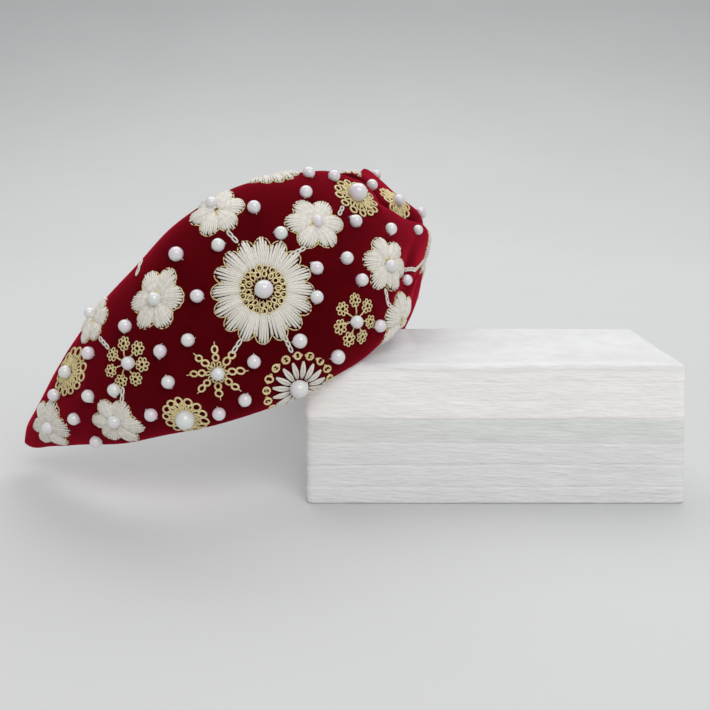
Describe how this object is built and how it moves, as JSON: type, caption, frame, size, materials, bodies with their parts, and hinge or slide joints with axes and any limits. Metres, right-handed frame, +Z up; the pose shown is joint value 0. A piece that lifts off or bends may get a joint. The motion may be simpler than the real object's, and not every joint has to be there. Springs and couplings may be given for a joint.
{
  "type": "embroidered headband on foam block",
  "caption": "Padded knotted velvet headband with embroidered flowers, gold sequins and pearls, leaning on a white foam block.",
  "frame": {"origin": "centre of the foam block's underside, on the surface that everything stands on", "axes": "+Z up, +X along the block away from the headband's tips, +Y from the side that the picture shows to the back"},
  "size_m": [0.2016, 0.1468, 0.0943],
  "materials": {
    "velvet": "deep burgundy velvet with a soft pile",
    "ivory_thread": "ivory satin-stitch thread with a silky sheen",
    "gold_thread": "gold sequins and metallic thread",
    "pearl": "white imitation pearl with a lilac lustre",
    "foam": "white expanded foam, laminated in sheets"
  },
  "bodies": {
    "root": {"foam_block": "foam", "near_half": "velvet", "far_half": "velvet", "big_daisy": "ivory_thread", "top_daisy": "ivory_thread", "under_daisy": "ivory_thread", "half_daisy": "ivory_thread", "flower_1": "ivory_thread", "flower_2": "ivory_thread", "flower_3": "ivory_thread", "flower_4": "ivory_thread", "flower_5": "ivory_thread", "flower_6": "ivory_thread", "flower_7": "ivory_thread", "rosette_1": "gold_thread", "rosette_2": "gold_thread", "rosette_3": "gold_thread", "cluster_1": "gold_thread", "cluster_2": "gold_thread", "snowflake": "gold_thread", "pearl_01": "pearl", "pearl_02": "pearl", "pearl_03": "pearl", "pearl_04": "pearl", "pearl_05": "pearl", "pearl_06": "pearl", "pearl_07": "pearl", "pearl_08": "pearl", "pearl_09": "pearl", "pearl_10": "pearl", "pearl_11": "pearl", "pearl_12": "pearl", "pearl_13": "pearl", "pearl_14": "pearl", "pearl_15": "pearl", "pearl_16": "pearl", "pearl_17": "pearl", "pearl_18": "pearl", "pearl_19": "pearl", "pearl_20": "pearl", "pearl_21": "pearl", "pearl_22": "pearl", "pearl_23": "pearl", "pearl_24": "pearl", "pearl_25": "pearl", "pearl_26": "pearl", "pearl_27": "pearl", "pearl_28": "pearl", "pearl_29": "pearl", "pearl_30": "pearl", "pearl_31": "pearl", "pearl_32": "pearl", "pearl_33": "pearl", "pearl_34": "pearl", "pearl_35": "pearl", "pearl_36": "pearl", "pearl_37": "pearl", "pearl_38": "pearl", "pearl_39": "pearl"}
  },
  "joints": []
}
